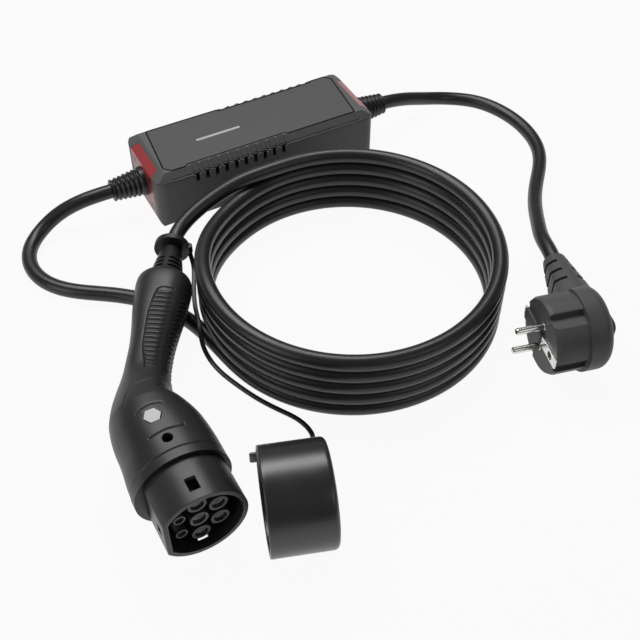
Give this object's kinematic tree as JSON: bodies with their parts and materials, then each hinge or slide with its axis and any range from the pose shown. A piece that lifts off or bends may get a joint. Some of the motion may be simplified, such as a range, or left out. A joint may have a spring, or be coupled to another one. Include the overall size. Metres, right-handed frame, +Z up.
{
  "type": "portable electric vehicle charger",
  "caption": "Portable vehicle charger: dark control box with red ends, mains lead with angled plug, coiled cable, pistol-grip connector and tethered dust cap.",
  "frame": {"origin": "on the ground under the middle of the control box", "axes": "+X along the control box toward its mains lead, +Z up"},
  "size_m": [0.4331, 0.3824, 0.0651],
  "materials": {
    "shell": "fine satin grain",
    "panel": "matt film",
    "light": "frosted light guide",
    "red": "satin red",
    "rubber": "soft matt",
    "cable": "smooth semi-gloss sheath",
    "plug": "moulded satin",
    "handle": "fine satin grain",
    "nose": "fine satin",
    "cap": "smooth semi-gloss",
    "nickel": "bright nickel",
    "steel": "blackened steel",
    "badge": "bare pale disc",
    "board": "green laminate",
    "relay": "blue case",
    "winding": "wrapped transformer",
    "terminal": "green block"
  },
  "bodies": {
    "root": {"base_shell": "shell", "top_cover": "shell", "cover_gasket": "rubber", "touch_panel": "panel", "light_bar": "light", "output_end_plate": "red", "input_end_plate": "red", "output_boot": "rubber", "input_boot": "rubber", "end_plate_screws": "steel", "cover_screws": "steel", "main_board": "board", "relays": "relay", "leakage_sensor": "shell", "power_supply": "winding", "terminal_blocks": "terminal", "cord_clamps": "shell", "display_board": "board", "mains_lead": "cable", "plug_boot": "plug", "plug_body": "plug", "plug_pins": "nickel", "earth_contacts": "nickel", "plug_back_plate": "plug", "output_lead": "cable", "cable_coil": "cable", "connector_lead": "cable", "handle_boot": "handle", "handle_upper_shell": "handle", "handle_lower_shell": "handle", "handle_screw": "steel", "badge_disc": "badge", "collar_ring": "handle", "nose_shroud": "nose", "contact_carrier": "nose", "power_contacts": "nickel", "signal_contacts": "nickel", "tether_ring": "rubber", "tether_strap": "rubber", "dust_cap": "cap"}
  },
  "joints": []
}
